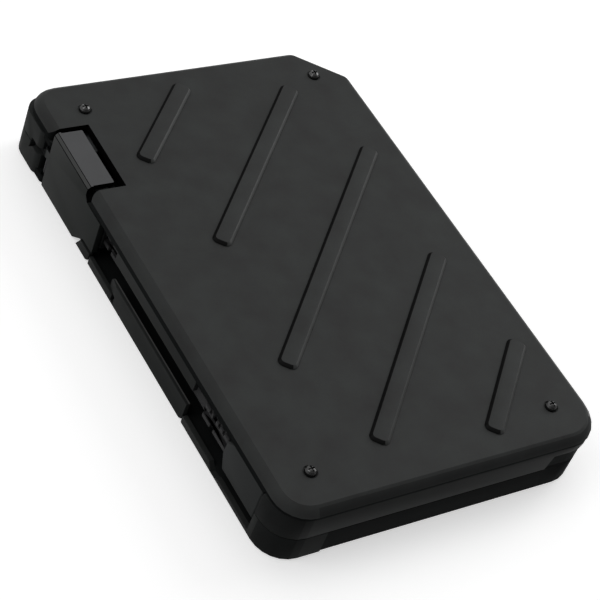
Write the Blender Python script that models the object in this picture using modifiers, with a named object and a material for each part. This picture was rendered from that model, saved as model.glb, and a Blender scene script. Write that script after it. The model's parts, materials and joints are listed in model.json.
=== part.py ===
# Rugged enclosure for a 2.5 inch drive, lying flat. Two shells clamp a frame between them with four
# screws. A channel along the left side holds a short cable: one plug is stowed at the front, and the
# other sits in a port behind a door that swings about an upright pin.
# Metres, +Z up. The origin is the middle of the footprint, on the face that the case stands on.
# The left side, with the channel, is -X, and the near short end is -Y.

import math

import bmesh
import bpy
from mathutils import Matrix, Vector

for old_object in list(bpy.data.objects):
    bpy.data.objects.remove(old_object, do_unlink=True)

# Fits and fineness, shared by every piece
FIT_GAP = 0.0003
OVERRUN = 0.0020
ROOT = 0.0004
WELD_DISTANCE = 0.000001
FLAT_ANGLE = math.radians(0.5)
SHARP_ANGLE = math.radians(32)
CORNER_STEPS = 6
ROUND_STEPS = 20
DOME_STEPS = 4

# Outline of the case, seen from above; the back right corner is cut off at 45 degrees
CASE_WIDTH = 0.0841
CASE_LENGTH = 0.1296
CASE_HEIGHT = 0.0167
CASE_CORNER = 0.0075
FRONT_RIGHT_CORNER = 0.0092
BACK_LEFT_CORNER = 0.0069
BACK_LEFT_BULGE = 0.0004
CUT_LEG = 0.0111
CUT_ROUND = 0.0030
LEAST_ROUND = 0.0004

# Top cover
COVER_DEPTH = 0.0035
FRONT_RISE = 0.0009
COVER_PLATE = 0.0020
COVER_WALL = 0.0011
COVER_ROLL = 0.0020
ROLL_STEPS = 4
ROLL_SHARE = 0.36
SKIRT_WALL = 0.0009
SKIRT_DEPTH = 0.0012
SKIRT_SETBACK = 0.0008

# Raised ribs on the cover: middle across, middle along, and length over the width of the case
RIB_HEIGHT = 0.0008
RIB_WIDTH = 0.0046
RIB_EDGE = 0.0006
RIB_CORNER = 0.0015
RIB_TURN = math.radians(45.4)
RIB_SHARES = [
    (-0.1753, 0.3622, 0.3627),
    (0.0201, 0.2309, 0.7348),
    (0.0593, -0.0012, 0.9453),
    (0.1038, -0.2314, 0.7515),
    (0.2920, -0.3606, 0.3555),
]

# Lower body: base shell and frame
BODY_SWELL = 0.0003
BODY_END_STEP = 0.0006
BODY_RECESS = 0.0004
PARTING_HEIGHT = 0.0070
BASE_THICKNESS = 0.0014
BASE_EDGE = 0.0003
FRAME_RIM = 0.0009
BAY_WALL = 0.0011
BAY_CORNER = 0.0010
RECESS_START = 0.0128
RECESS_BAND = 0.0016
PANEL_END = 0.0130
PANEL_SLANT = 0.0010
SIDE_PANEL_END = 0.0200

# Cable channel in the left side
CHANNEL_DEPTH = 0.0075
CHANNEL_FLOOR = 0.0011
PILLAR_LENGTH = 0.0098
BLOCK_LENGTH = 0.0124
BLOCK_SWELL = 0.0006
BLOCK_CORNER = 0.0048
BLOCK_ROUND = 0.0018
SIDE_INSET = 0.0001
LIP_THICKNESS = 0.0010
LIP_HEIGHT = 0.0022
FRONT_LIP_LENGTH = 0.0132
FRONT_LIP_HEIGHT = 0.0013
LIP_BREAK = 0.0046
LIP_BREAK_FLOOR = 0.0004
LIP_BREAK_SLANT = 0.0016
GUARD_HEIGHT = 0.0055
GUARD_NOTCH = 0.0013
GUARD_NOTCH_HEIGHT = 0.0026
GUARD_LEAD = 0.0022
GUARD_LEAD_DEPTH = 0.0006
GUARD_ROUND = 0.0010
SEAM_NOTCH = 0.0004
WEDGE_LENGTH = 0.0012
WEDGE_HEIGHT = 0.0008
BOSS_LENGTH = 0.0046
BOSS_HEIGHT = 0.0027
BOSS_SLANT = 0.0016
STRIP_LOW = 0.0099
STRIP_INSET = 0.0003
STRIP_THICKNESS = 0.0011
STRIP_OVERLAP = 0.0007
WEB_THICKNESS = 0.0012
FINGER_SPACE = 0.0039
SLOT_LOW = 0.0062
SLOT_HEIGHT = 0.0020
SLOT_LENGTH = 0.0044
SLOT_DEPTH = 0.0011
SLOT_HOOK = 0.0009
SLOT_TAIL = 0.0005
SLOT_DROP = 0.0014

# Cover screws and the inserts they turn into
POST_INSET_X = 0.0102
POST_INSET_Y = 0.0099
SCREW_HEAD_RADIUS = 0.0014
SCREW_HEAD_HEIGHT = 0.0013
SCREW_SHANK_RADIUS = 0.0009
SCREW_TIP_GAP = 0.00145
SCREW_POINT = 0.0004
RECESS_SPAN = 0.0016
RECESS_WIDTH = 0.0004
RECESS_DEPTH = 0.0006
COUNTERBORE = 0.0003
POST_RADIUS = 0.0031
POST_RIB = 0.0012
INSERT_RADIUS = 0.0016
INSERT_LENGTH = 0.0038

# Door over the port, and its hinge
DOOR_LENGTH = 0.0259
DOOR_THICKNESS = 0.0014
DOOR_FOOT = 0.0002
DOOR_FRONT_LOW = 0.0037
DOOR_TOE = 0.0043
DOOR_SLOPE = 0.0045
HOOK_LENGTH = 0.0173
HOOK_REACH = 0.0066
HOOK_THICKNESS = 0.0014
HOOK_CORNER = 0.0004
DOOR_CHAMFER = 0.0008
HOOK_BACK_STEP = 0.0003
SHOULDER_GAP = 0.0002
SHOULDER_LENGTH = 0.0012
SHOULDER_HEIGHT = 0.0014
NOTCH_LENGTH = 0.0203
NOTCH_DEPTH = 0.0089
NOTCH_BACK = 0.0147
NOTCH_ROUND = 0.0018
HINGE_SPACE = 0.0034
HINGE_INSET = 0.0011
HINGE_OFFSET = 0.0018
PIN_RADIUS = 0.0005
PIN_FOOT = 0.0009
KNUCKLE_RADIUS = 0.0012
KNUCKLE_GAP = 0.0012
KNUCKLE_LENGTH = 0.0026
KNUCKLE_TAB = 0.0010
EAR_RADIUS = 0.0012
LOW_EAR_HEIGHT = 0.0018
HIGH_EAR_HEIGHT = 0.0014

# Cable, its two plugs and their strain reliefs
CABLE_RADIUS = 0.0019
CABLE_POINTS = 15
CABLE_ROUND_STEPS = 2
PLUG_GAP = 0.0007
PLUG_LENGTH = 0.0152
PLUG_LOW = 0.0036
PLUG_INSET = 0.0004
PLUG_THICKNESS = 0.0062
PLUG_EDGE = 0.0003
PLUG_TOP_CUT = 0.0025
PLUG_TOP_CUT_HEIGHT = 0.0019
PLUG_LOW_CUT = 0.0015
PLUG_LOW_CUT_HEIGHT = 0.0036
TIP_LENGTH = 0.0063
TIP_STEP = 0.0005
TIP_THICKNESS = 0.0024
TIP_WALL = 0.0003
TIP_DEPTH = 0.0055
BOOT_LENGTH = 0.0107
BOOT_HEIGHT = 0.0044
BOOT_THICKNESS = 0.0045
BOOT_GROOVE = 0.0018
BOOT_GROOVE_DEPTH = 0.0011
BOOT_SLOT = 0.0014
BOOT_SLOT_PLACE = 0.0057
BOOT_TOOTH_PITCH = 0.00195
BOOT_TOOTH_GAP = 0.0008
BOOT_TOOTH_DEPTH = 0.0009
BOOT_TEETH = 4
PORT_PLUG_LENGTH = 0.0140
PORT_PLUG_THICKNESS = 0.0050
PORT_BOOT_LENGTH = 0.0080
PORT_BOOT_THICKNESS = 0.0046
PORT_BOOT_SLOT_PLACE = 0.0040
PORT_BOOT_TEETH = 3
SOCKET_LENGTH = 0.0080
SOCKET_WALL = 0.0003
SOCKET_BACK = 0.0010
TONGUE_LENGTH = 0.0050
TONGUE_THICKNESS = 0.0007
TONGUE_INSET = 0.0009

# Bridge board and what it carries
BOARD_LOW = 0.0020
BOARD_THICKNESS = 0.0010
BOARD_RIGHT_GAP = 0.0079
BOARD_DEPTH = 0.0096
BOARD_NECK = 0.0031
BOARD_BACK_GAP = 0.0010
BOARD_POST_GAP = 0.0043
ARM_WIDTH = 0.0037
PILLAR_RADIUS = 0.0019
PILLAR_INSET = 0.0030
BOARD_SCREW_RADIUS = 0.0006
BOARD_SCREW_HEAD = 0.0014
BOARD_SCREW_HEAD_HEIGHT = 0.0010
BOARD_SCREW_LENGTH = 0.0024
SATA_WIDTH = 0.0400
SATA_DEPTH = 0.0060
SATA_HEIGHT = 0.0050
SATA_BUMPER_GAP = 0.0006
SATA_SLOT_HEIGHT = 0.0015
SATA_SLOT_DEPTH = 0.0045
SATA_DATA_WIDTH = 0.0106
SATA_POWER_WIDTH = 0.0210
SATA_KEY = 0.0011
SATA_GAP = 0.0025
CHIP_SIDE = 0.0044
CHIP_HEIGHT = 0.0009

# Room for a 2.5 inch drive, and the soft pieces that hold it
DRIVE_POST_GAP = 0.0016
BUMPER_TOP_GAP = 0.0020
BUMPER_LEG = 0.0062
BUMPER_WALL = 0.0011
PAD_WIDTH = 0.0460
PAD_LENGTH = 0.0660
PAD_THICKNESS = 0.0010
UPPER_PAD_THICKNESS = 0.0012

# Places worked out from the sizes above
case_left = -CASE_WIDTH / 2
case_right = CASE_WIDTH / 2
case_front = -CASE_LENGTH / 2
case_back = CASE_LENGTH / 2
cut_share = 2 - math.sqrt(2)
side_face = case_left - SIDE_INSET
beyond_left = case_left - OVERRUN
shell_top = PARTING_HEIGHT - FIT_GAP / 2
frame_low = PARTING_HEIGHT + FIT_GAP / 2
lip_low = CASE_HEIGHT - COVER_DEPTH
rim_top = lip_low - FIT_GAP
plate_low = CASE_HEIGHT - COVER_PLATE
tongue_top = plate_low - FIT_GAP
tongue_inset = COVER_WALL + FIT_GAP
bay_inset = tongue_inset + FRAME_RIM
channel_wall = case_left + CHANNEL_DEPTH
bay_left = channel_wall + BAY_WALL
bay_right = case_right - bay_inset
bay_front = case_front + bay_inset
bay_back = case_back - bay_inset
bay_middle = (bay_left + bay_right) / 2
channel_front = case_front + PILLAR_LENGTH
channel_back = case_back - BLOCK_LENGTH
lip_inner = side_face + LIP_THICKNESS
recess_left = case_left + RECESS_START
recess_high = rim_top - RECESS_BAND
post_x = case_right - POST_INSET_X
post_y = case_back - POST_INSET_Y
drive_end = post_y - POST_RADIUS - DRIVE_POST_GAP

door_back = channel_back - HINGE_SPACE
door_front = door_back - DOOR_LENGTH
door_inner = side_face + DOOR_THICKNESS
hook_back = door_back - HOOK_BACK_STEP
hook_front = hook_back - HOOK_LENGTH
notch_back = case_back - NOTCH_BACK
notch_front = notch_back - NOTCH_LENGTH
notch_right = case_left + NOTCH_DEPTH
hinge_x = case_left + HINGE_INSET
hinge_y = channel_back - HINGE_OFFSET
pin_high = rim_top - FIT_GAP * 2
high_ear_low = rim_top - HIGH_EAR_HEIGHT
knuckle_high = high_ear_low - KNUCKLE_GAP
knuckle_low = knuckle_high - KNUCKLE_LENGTH

plug_high = rim_top
cable_z = (PLUG_LOW + plug_high) / 2
tip_low = PLUG_LOW + TIP_STEP
tip_high = plug_high - TIP_STEP
boot_low = cable_z - BOOT_HEIGHT / 2
boot_high = cable_z + BOOT_HEIGHT / 2
plug_front = channel_front + PLUG_GAP
plug_back = plug_front + PLUG_LENGTH
plug_left = case_left + PLUG_INSET
stow_x = plug_left + PLUG_THICKNESS / 2
boot_front = plug_back + FIT_GAP
boot_back = boot_front + BOOT_LENGTH
guard_front = boot_back + FINGER_SPACE
port_plug_front = door_front + FIT_GAP * 2
port_plug_back = port_plug_front + PORT_PLUG_LENGTH
port_x = channel_wall - FIT_GAP - PORT_PLUG_THICKNESS / 2
port_boot_back = port_plug_front - FIT_GAP
port_boot_front = port_boot_back - PORT_BOOT_LENGTH
guard_back = port_boot_front - FINGER_SPACE - GUARD_NOTCH
socket_front = port_plug_back + FIT_GAP
socket_back = socket_front + SOCKET_LENGTH
socket_low = tip_low - FIT_GAP
socket_high = tip_high + FIT_GAP
socket_half = TIP_THICKNESS / 2 + FIT_GAP

board_top = BOARD_LOW + BOARD_THICKNESS
board_back = bay_back - BOARD_BACK_GAP
board_front = board_back - BOARD_DEPTH
board_left = BOARD_POST_GAP - post_x
board_right = post_x - BOARD_RIGHT_GAP
arm_right = channel_wall - FIT_GAP * 2
arm_left = arm_right - ARM_WIDTH
pillar_left = board_left + PILLAR_INSET
pillar_right = board_right - PILLAR_INSET
pillar_y = board_back - PILLAR_INSET
sata_left = bay_left + FIT_GAP + BUMPER_LEG + SATA_BUMPER_GAP
sata_x = sata_left + SATA_WIDTH / 2
sata_front = drive_end + FIT_GAP


def make_collection(name):
    collection = bpy.data.collections.new(name)
    bpy.context.scene.collection.children.link(collection)
    return collection


parts = make_collection("hard_drive_case")
cutters = make_collection("cutters")


def clean(mesh):
    work = bmesh.new()
    work.from_mesh(mesh)
    bmesh.ops.remove_doubles(work, verts=work.verts, dist=WELD_DISTANCE)
    bmesh.ops.dissolve_limit(
        work, angle_limit=FLAT_ANGLE, verts=work.verts, edges=work.edges, use_dissolve_boundaries=False
    )
    bmesh.ops.recalc_face_normals(work, faces=work.faces)
    work.to_mesh(mesh)
    work.free()


def to_mesh(drawn):
    bpy.context.view_layer.update()
    evaluated = drawn.evaluated_get(bpy.context.evaluated_depsgraph_get())
    piece = bpy.data.objects.new(drawn.name, bpy.data.meshes.new_from_object(evaluated))
    clean(piece.data)
    piece.matrix_world = drawn.matrix_world.copy()
    parts.objects.link(piece)
    name = drawn.name
    bpy.data.objects.remove(drawn)
    piece.name = name
    piece.data.name = name
    return piece


def draw(name, loops, thickness, placed):
    curve = bpy.data.curves.new(name, "CURVE")
    curve.dimensions = "2D"
    curve.fill_mode = "BOTH"
    curve.extrude = thickness / 2
    for loop in loops:
        spline = curve.splines.new("POLY")
        spline.points.add(len(loop) - 1)
        for point, (across, up) in zip(spline.points, loop):
            point.co = (across, up, 0, 1)
        spline.use_cyclic_u = True
    drawn = bpy.data.objects.new(name, curve)
    parts.objects.link(drawn)
    drawn.matrix_world = placed
    return to_mesh(drawn)


def slab(name, low, high, *loops):
    """Outline in X and Y, upright between two heights."""
    return draw(name, loops, high - low, Matrix.Translation((0, 0, (low + high) / 2)))


def side_slab(name, left, right, *loops):
    """Outline in Y and Z, running across from left to right."""
    turn = Matrix(((0, 0, 1), (1, 0, 0), (0, 1, 0))).to_4x4()
    return draw(name, loops, right - left, Matrix.Translation(((left + right) / 2, 0, 0)) @ turn)


def end_slab(name, front, back, *loops):
    """Outline in X and Z, running along from front to back."""
    turn = Matrix(((1, 0, 0), (0, 0, -1), (0, 1, 0))).to_4x4()
    return draw(name, loops, back - front, Matrix.Translation((0, (front + back) / 2, 0)) @ turn)


def box(name, left, right, front, back, low, high):
    mesh = bpy.data.meshes.new(name)
    work = bmesh.new()
    centre = Matrix.Translation(((left + right) / 2, (front + back) / 2, (low + high) / 2))
    size = Matrix.Diagonal((right - left, back - front, high - low, 1))
    bmesh.ops.create_cube(work, size=1, matrix=centre @ size)
    work.to_mesh(mesh)
    work.free()
    piece = bpy.data.objects.new(name, mesh)
    parts.objects.link(piece)
    return piece


def rod(name, x, y, radius, low, high):
    mesh = bpy.data.meshes.new(name)
    work = bmesh.new()
    bmesh.ops.create_cone(
        work,
        cap_ends=True,
        segments=ROUND_STEPS,
        radius1=radius,
        radius2=radius,
        depth=high - low,
        matrix=Matrix.Translation((x, y, (low + high) / 2)),
    )
    work.to_mesh(mesh)
    work.free()
    piece = bpy.data.objects.new(name, mesh)
    parts.objects.link(piece)
    return piece


def turned(name, x, y, profile, ring=False):
    mesh = bpy.data.meshes.new(name)
    count = len(profile)
    edges = [(index, index + 1) for index in range(count - 1)]
    if ring:
        edges.append((count - 1, 0))
    mesh.from_pydata([(radius, 0, height) for radius, height in profile], edges, [])
    piece = bpy.data.objects.new(name, mesh)
    piece.location = (x, y, 0)
    parts.objects.link(piece)
    turn = piece.modifiers.new("turn", "SCREW")
    turn.axis = "Z"
    turn.steps = ROUND_STEPS
    turn.render_steps = ROUND_STEPS
    turn.use_smooth_shade = True
    turn.use_merge_vertices = True
    turn.merge_threshold = WELD_DISTANCE
    return piece


def round_corners(corners):
    """Outline through corners given as across, up and radius."""
    outline = []
    for index, (across, up, radius) in enumerate(corners):
        corner = Vector((across, up))
        before = (Vector(corners[index - 1][:2]) - corner).normalized()
        after = (Vector(corners[(index + 1) % len(corners)][:2]) - corner).normalized()
        if radius == 0:
            outline.append(tuple(corner))
            continue
        half = before.angle(after) / 2
        centre = corner + (before + after).normalized() * radius / math.sin(half)
        start = corner + before * radius / math.tan(half) - centre
        end = corner + after * radius / math.tan(half) - centre
        swing = start.angle_signed(end)
        for step in range(CORNER_STEPS + 1):
            spoke = Matrix.Rotation(-swing * step / CORNER_STEPS, 2) @ start
            outline.append(tuple(centre + spoke))
    return outline


def rectangle(left, right, low, high, radius=0):
    return round_corners([
        (left, low, radius), (right, low, radius), (right, high, radius), (left, high, radius)
    ])


def case_outline(inset, side_swell=0, end_step=0):
    left = case_left - side_swell + inset
    right = case_right + side_swell - inset
    front = case_front + end_step + inset
    back = case_back - end_step - inset
    leg = CUT_LEG - inset * cut_share
    leg_round = max(CUT_ROUND - inset, LEAST_ROUND)
    return round_corners([
        (left, front, CASE_CORNER - inset),
        (right, front, FRONT_RIGHT_CORNER - end_step - inset),
        (right, back - leg, leg_round),
        (right - leg, back, leg_round),
        (left - BACK_LEFT_BULGE, back, BACK_LEFT_CORNER - inset),
        (left - BACK_LEFT_BULGE, notch_back, 0),
        (left, notch_front, 0),
    ])


def bay_outline():
    corner = FRONT_RIGHT_CORNER - bay_inset
    leg = CUT_LEG - bay_inset * cut_share
    leg_round = CUT_ROUND - bay_inset
    return round_corners([
        (bay_left, bay_front, BAY_CORNER),
        (bay_right, bay_front, corner),
        (bay_right, bay_back - leg, leg_round),
        (bay_right - leg, bay_back, leg_round),
        (bay_left, bay_back, BAY_CORNER),
    ])


def round_rim(piece, upper, width, steps, fullness_share=0.5):
    work = bmesh.new()
    work.from_mesh(piece.data)
    heights = [vertex.co.z for vertex in work.verts]
    level = max(heights) if upper else min(heights)
    rim = [
        edge for edge in work.edges
        if all(abs(vertex.co.z - level) < WELD_DISTANCE for vertex in edge.verts)
        and edge.calc_face_angle() > FLAT_ANGLE
    ]
    bmesh.ops.bevel(
        work, geom=rim, offset=width, offset_type="OFFSET", segments=steps, profile=fullness_share,
        affect="EDGES",
    )
    work.to_mesh(piece.data)
    work.free()


def soften(piece, width):
    bevel = piece.modifiers.new("edge", "BEVEL")
    bevel.width = width
    bevel.segments = 1
    bevel.limit_method = "ANGLE"


def to_cutter(piece):
    for collection in list(piece.users_collection):
        collection.objects.unlink(piece)
    cutters.objects.link(piece)
    piece.hide_render = True
    piece.display_type = "WIRE"


def combine(piece, others, operation):
    for other in others:
        boolean = piece.modifiers.new(other.name, "BOOLEAN")
        boolean.operation = operation
        boolean.solver = "EXACT"
        boolean.object = other
        to_cutter(other)


def cut(piece, *others):
    combine(piece, others, "DIFFERENCE")


def join(piece, *others):
    combine(piece, others, "UNION")


def repeat(piece, axis, distance, count=2):
    array = piece.modifiers.new("repeat", "ARRAY")
    array.count = count
    array.use_relative_offset = False
    array.use_constant_offset = True
    array.constant_offset_displace = [distance if place == axis else 0 for place in range(3)]
    return piece


def at_screws(piece):
    repeat(piece, 0, post_x * 2)
    return repeat(piece, 1, post_y * 2)


def place_copies(first, places):
    """Separate pieces that share one shape, each at its own place."""
    name = first.name
    for number, (x, y) in enumerate(places, 1):
        piece = bpy.data.objects.new(name + "_" + str(number), first.data)
        piece.location = (x, y, first.location.z)
        parts.objects.link(piece)
    bpy.data.objects.remove(first)


def mirrored_ends(piece):
    mirror = piece.modifiers.new("other_end", "MIRROR")
    mirror.use_axis = (False, True, False)
    mirror.use_mirror_merge = False
    return piece


def finish(piece, colour, roughness, metallic=0.0):
    material = bpy.data.materials.new(piece.name)
    material.use_nodes = True
    shader = material.node_tree.nodes["Principled BSDF"]
    shader.inputs["Base Color"].default_value = (*colour, 1.0)
    shader.inputs["Roughness"].default_value = roughness
    shader.inputs["Metallic"].default_value = metallic
    piece.data.materials.clear()
    piece.data.materials.append(material)
    piece.data.shade_smooth()
    piece.data.set_sharp_from_angle(angle=SHARP_ANGLE)
    return piece


def screw_posts(name, low, high):
    return at_screws(rod(name, -post_x, -post_y, POST_RADIUS, low, high))


def post_webs(low, high):
    half = POST_RIB / 2
    side = box("web_side", post_x, bay_right + OVERRUN, -post_y - half, half - post_y, low, high)
    end = box("web_end", post_x - half, post_x + half, bay_front - OVERRUN, -post_y, low, high)
    return mirrored_ends(side), mirrored_ends(end)


def outer_recess(name, low, high):
    """Ring outside the recessed wall, left open round the two corner blocks."""
    wide = CUT_LEG
    ring = slab(
        name, low, high, case_outline(-wide), case_outline(BODY_RECESS, BODY_SWELL, BODY_END_STEP)
    )
    cut(ring, box(name + "_blocks", case_left - wide * 2, recess_left, case_front - wide * 2,
                  case_back + wide * 2, low - OVERRUN, high + OVERRUN))
    return ring


def corner_block(piece, low, high):
    """Clear the corner behind the hinge, and fill it with a block of a fuller outline."""
    step_x = door_inner + FIT_GAP
    cut(piece, slab(piece.name + "_block_room", low - OVERRUN, high + OVERRUN, [
        (beyond_left, channel_back),
        (step_x, channel_back),
        (step_x, channel_back + ROOT),
        (recess_left - ROOT, channel_back + ROOT),
        (recess_left - ROOT, case_back + OVERRUN),
        (beyond_left, case_back + OVERRUN),
    ]))
    return slab(piece.name + "_block", low, high, round_corners([
        (case_left - BLOCK_SWELL, channel_back, BLOCK_ROUND),
        (recess_left, channel_back, 0),
        (recess_left, case_back, 0),
        (case_left - BLOCK_SWELL, case_back, BLOCK_CORNER),
    ]))


def hinge_ear(name, low, high):
    left = hinge_x - EAR_RADIUS
    right = hinge_x + EAR_RADIUS
    front = hinge_y - EAR_RADIUS
    back = channel_back + BLOCK_ROUND
    nose = EAR_RADIUS - SIDE_INSET
    return slab(name, low, high, round_corners([
        (left, front, nose), (right, front, nose), (right, back, 0), (left, back, 0)
    ]))


def tip_pocket(name, low, high):
    half = TIP_THICKNESS / 2 + FIT_GAP
    front = plug_front - TIP_LENGTH - FIT_GAP * 2
    return box(name, stow_x - half, stow_x + half, front, channel_front + OVERRUN, low, high)


plastic = (0.033, 0.034, 0.036)
side_plastic = (0.024, 0.025, 0.027)
door_plastic = (0.060, 0.061, 0.064)
rubber = (0.018, 0.018, 0.019)
steel = (0.560, 0.550, 0.530)
black_metal = (0.020, 0.020, 0.022)

# Base shell: floor, walls, screw posts, and the lips and guard along the channel
shell = slab("bottom_shell", 0, shell_top, case_outline(0, BODY_SWELL, BODY_END_STEP))
round_rim(shell, False, BASE_EDGE, 1)
shell_high = shell_top + OVERRUN
cut(shell, outer_recess("shell_recess", -OVERRUN, shell_high))
shell_block = corner_block(shell, 0, shell_top)
round_rim(shell_block, False, BASE_EDGE, 1)
join(shell, shell_block)

shell_bay = slab("shell_bay", BASE_THICKNESS, shell_high, bay_outline())
cut(shell_bay, screw_posts("shell_posts", 0, CASE_HEIGHT), *post_webs(0, CASE_HEIGHT))
pillars = rod("pillars", pillar_left, pillar_y, PILLAR_RADIUS, 0, BOARD_LOW - FIT_GAP)
cut(shell_bay, repeat(pillars, 0, pillar_right - pillar_left))
cut(shell, shell_bay)

channel_over = shell_top + OVERRUN
cut(shell, box("side_trim", beyond_left, side_face, guard_front, channel_back, -OVERRUN, channel_over))
cut(shell, box("shell_channel", lip_inner, channel_wall, channel_front, channel_back,
               CHANNEL_FLOOR, channel_over))

# Seen from the side: what is open above the lips, guard and boss
break_front = channel_front + FRONT_LIP_LENGTH
break_back = break_front + LIP_BREAK
guard_end = guard_back + GUARD_NOTCH + GUARD_LEAD
boss_front = door_front + FIT_GAP * 2
boss_back = boss_front + BOSS_LENGTH
boss_foot = boss_back + BOSS_SLANT
sill = round_corners([
    (channel_front, FRONT_LIP_HEIGHT, 0),
    (break_front, FRONT_LIP_HEIGHT, 0),
    (break_front + LIP_BREAK_SLANT, LIP_BREAK_FLOOR, 0),
    (break_back - LIP_BREAK_SLANT, LIP_BREAK_FLOOR, 0),
    (break_back, LIP_HEIGHT, 0),
    (guard_front - SEAM_NOTCH, LIP_HEIGHT, 0),
    (guard_front - SEAM_NOTCH, LIP_BREAK_FLOOR, 0),
    (guard_front, LIP_BREAK_FLOOR, 0),
    (guard_front, GUARD_HEIGHT, 0),
    (guard_end, GUARD_HEIGHT, GUARD_ROUND),
    (guard_end, GUARD_NOTCH_HEIGHT, 0),
    (guard_back, GUARD_NOTCH_HEIGHT, 0),
    (guard_back, LIP_BREAK_FLOOR, 0),
    (guard_back + GUARD_NOTCH, LIP_BREAK_FLOOR, 0),
    (guard_back + GUARD_NOTCH, LIP_HEIGHT, 0),
    (boss_front - SEAM_NOTCH, LIP_HEIGHT, 0),
    (boss_front - SEAM_NOTCH, LIP_BREAK_FLOOR, 0),
    (boss_front, LIP_BREAK_FLOOR, 0),
    (boss_front, BOSS_HEIGHT, 0),
    (boss_back, BOSS_HEIGHT, 0),
    (boss_foot, 0, 0),
    (boss_foot, -OVERRUN, 0),
    (channel_back, -OVERRUN, 0),
    (channel_back, channel_over, 0),
    (channel_front, channel_over, 0),
])
cut(shell, side_slab("sill", beyond_left, lip_inner + SIDE_INSET, sill))
cut(shell, box("door_bay", beyond_left, door_inner + FIT_GAP, boss_foot, channel_back, -OVERRUN,
               channel_over))
for name, wedge_front in (("guard_wedge", guard_front), ("boss_wedge", boss_front)):
    cut(shell, side_slab(name, beyond_left, lip_inner + SIDE_INSET, [
        (wedge_front - SEAM_NOTCH, -OVERRUN),
        (wedge_front + WEDGE_LENGTH, -OVERRUN),
        (wedge_front + WEDGE_LENGTH, 0),
        (wedge_front, WEDGE_HEIGHT),
        (wedge_front - SEAM_NOTCH, WEDGE_HEIGHT),
    ]))

lead = [
    (side_face - OVERRUN, guard_end + OVERRUN),
    (side_face - OVERRUN, guard_back + FIT_GAP),
    (side_face, guard_back + FIT_GAP),
    (side_face + GUARD_LEAD_DEPTH, guard_end),
    (side_face + GUARD_LEAD_DEPTH, guard_end + OVERRUN),
]
cut(shell, slab("guard_lead", LIP_HEIGHT + FIT_GAP, channel_over, lead))

join(shell, hinge_ear("shell_ear", DOOR_FOOT, DOOR_FOOT + LOW_EAR_HEIGHT))
cut(shell, rod("shell_pin_hole", hinge_x, hinge_y, PIN_RADIUS + FIT_GAP, PIN_FOOT - FIT_GAP, channel_over))

slot_back = channel_back + SLOT_LENGTH
slot_high = SLOT_LOW + SLOT_HEIGHT
slot = [
    (channel_back - OVERRUN, SLOT_LOW),
    (slot_back - SLOT_HOOK, SLOT_LOW),
    (slot_back + SLOT_TAIL, SLOT_LOW - SLOT_DROP),
    (slot_back, slot_high),
    (channel_back - OVERRUN, slot_high),
]
cut(shell, side_slab("shell_slot", beyond_left, side_face + SLOT_DEPTH, slot))
cut(shell, tip_pocket("shell_tip_pocket", tip_low - FIT_GAP, channel_over))
arm_pocket_back = board_back + FIT_GAP
cut(shell, box("arm_pocket", arm_left - FIT_GAP, arm_right + FIT_GAP, channel_back - OVERRUN,
               arm_pocket_back, BOARD_LOW - FIT_GAP, channel_over))
cut(shell, box("arm_doorway", arm_right, bay_left + OVERRUN, board_back - BOARD_NECK - FIT_GAP,
               arm_pocket_back, BOARD_LOW - FIT_GAP, board_top + FIT_GAP))
insert_low = shell_top - FIT_GAP - INSERT_LENGTH
cut(shell, at_screws(rod("insert_bores", -post_x, -post_y, INSERT_RADIUS + FIT_GAP, insert_low - FIT_GAP,
                         channel_over)))
cut(shell, repeat(rod("board_screw_bores", pillar_left, pillar_y, BOARD_SCREW_RADIUS + FIT_GAP,
                      board_top - BOARD_SCREW_LENGTH, channel_over), 0, pillar_right - pillar_left))
finish(shell, side_plastic, 0.55)

# Frame: side walls above the parting line, a tongue inside the cover, and the strip over the guard
frame = slab("body_frame", frame_low, rim_top, case_outline(0, BODY_SWELL, BODY_END_STEP))
frame_over = tongue_top + OVERRUN
panel_right = case_right - PANEL_END
panel_keep = end_slab("end_panels", case_front - CUT_LEG * 2, case_back + CUT_LEG * 2, [
    (case_left, frame_low - OVERRUN * 2),
    (panel_right - PANEL_SLANT, frame_low - OVERRUN * 2),
    (panel_right - PANEL_SLANT, frame_low),
    (panel_right, recess_high),
    (panel_right, frame_over),
    (case_left, frame_over),
])
side_end = case_back - SIDE_PANEL_END
side_keep = side_slab("side_panel", 0, case_right + CUT_LEG * 2, [
    (PANEL_SLANT - side_end, frame_low - OVERRUN * 2),
    (side_end - PANEL_SLANT, frame_low - OVERRUN * 2),
    (side_end - PANEL_SLANT, frame_low),
    (side_end, recess_high),
    (side_end, frame_over),
    (-side_end, frame_over),
    (-side_end, recess_high),
    (PANEL_SLANT - side_end, frame_low),
])
frame_recess = outer_recess("frame_recess", frame_low - OVERRUN, recess_high)
cut(frame_recess, panel_keep, side_keep)
cut(frame, frame_recess)
join(frame, corner_block(frame, frame_low, rim_top))
join(frame, slab("tongue", rim_top - ROOT, tongue_top, case_outline(tongue_inset)))
front_rim = slab(
    "front_rim", rim_top - ROOT, rim_top + FRONT_RISE, case_outline(0, BODY_SWELL, BODY_END_STEP)
)
cut(front_rim, box("behind_front_rim", case_left - CUT_LEG, case_right + CUT_LEG, channel_front - FIT_GAP,
                   case_back + CUT_LEG, rim_top - OVERRUN, frame_over))
join(frame, front_rim)

frame_bay = slab("frame_bay", frame_low - OVERRUN, frame_over, bay_outline())
cut(frame_bay, screw_posts("frame_posts", 0, CASE_HEIGHT + OVERRUN), *post_webs(0, CASE_HEIGHT + OVERRUN))
cut(frame, frame_bay)

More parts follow.
